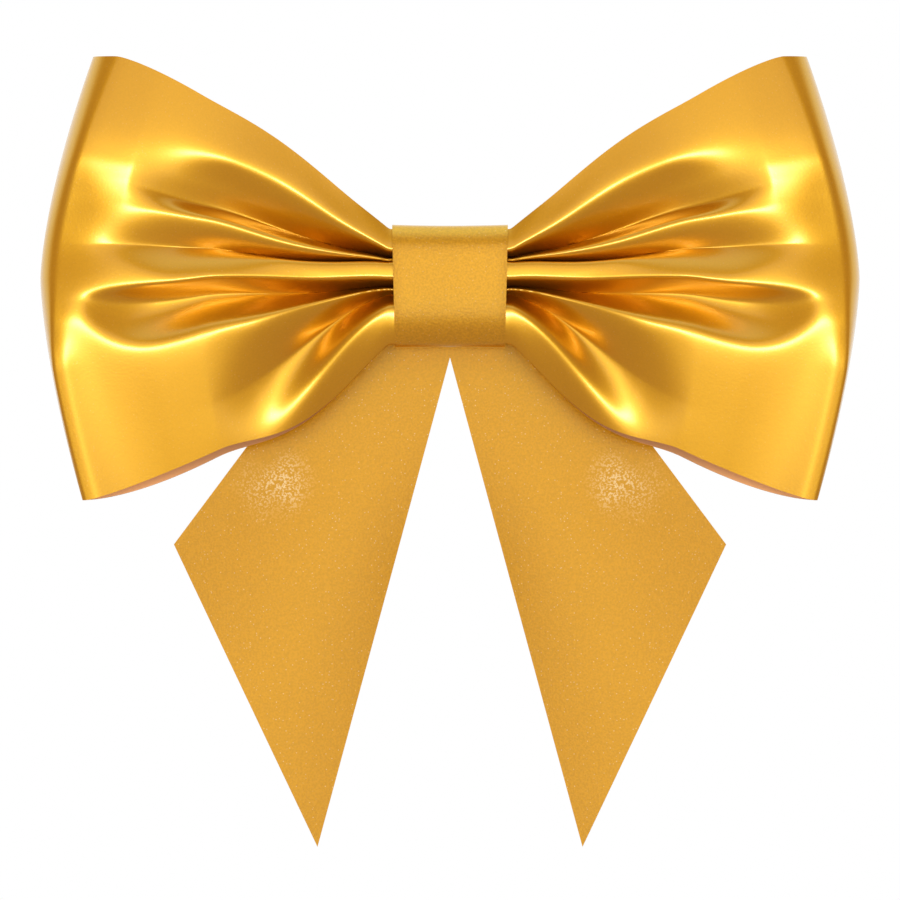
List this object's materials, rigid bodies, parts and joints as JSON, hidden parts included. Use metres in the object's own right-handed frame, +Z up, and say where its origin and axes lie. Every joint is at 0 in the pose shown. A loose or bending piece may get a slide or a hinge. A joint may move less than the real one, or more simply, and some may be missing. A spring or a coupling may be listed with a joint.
{
  "type": "gift bow",
  "caption": "Gift bow of metallic PVC sheet: gathered loops that flex and pointed tails that swing, held by a wrapped knot band, with an adhesive pad at the back.",
  "frame": {"origin": "middle of the adhesive pad's back face, level with the knot's middle", "axes": "+X to the viewer's right across the loops, +Y out of the pad's back face (the bow faces -Y), +Z up with the tails hanging down"},
  "size_m": [0.249, 0.0306, 0.2404],
  "materials": {
    "gold_pvc": "satin metallic gold PVC sheet with a fine sparkle",
    "clear_tape": "clear double-sided tape",
    "rubber": "plain natural rubber",
    "white_foam": "white foam with adhesive"
  },
  "bodies": {
    "knot": {"knot_band": "gold_pvc", "knot_tape": "clear_tape", "loop_waist": "gold_pvc", "cinch_ring": "rubber", "tail_yoke": "gold_pvc", "tail_tape": "clear_tape", "adhesive_pad": "white_foam"},
    "left_loop": {"left_loop": "gold_pvc"},
    "right_loop": {"right_loop": "gold_pvc"},
    "left_tail": {"left_tail": "gold_pvc"},
    "right_tail": {"right_tail": "gold_pvc"}
  },
  "joints": [
    {"name": "left_loop_flex", "type": "hinge", "parent": "knot", "child": "left_loop", "pos_m": [-0.01755, -0.02205, 0], "axis": [0, 0, 1], "range_deg": [0, 25], "stiffness_Nm_per_rad": 0.05},
    {"name": "right_loop_flex", "type": "hinge", "parent": "knot", "child": "right_loop", "pos_m": [0.01755, -0.02205, 0], "axis": [0, 0, -1], "range_deg": [0, 25], "stiffness_Nm_per_rad": 0.05},
    {"name": "left_tail_swing", "type": "hinge", "parent": "knot", "child": "left_tail", "pos_m": [-0.02, -0.0026, -0.01545], "axis": [1, 0, 0], "range_deg": [0, 60], "stiffness_Nm_per_rad": 0.002},
    {"name": "right_tail_swing", "type": "hinge", "parent": "knot", "child": "right_tail", "pos_m": [0.02, -0.0026, -0.01545], "axis": [1, 0, 0], "range_deg": [0, 60], "stiffness_Nm_per_rad": 0.002}
  ]
}
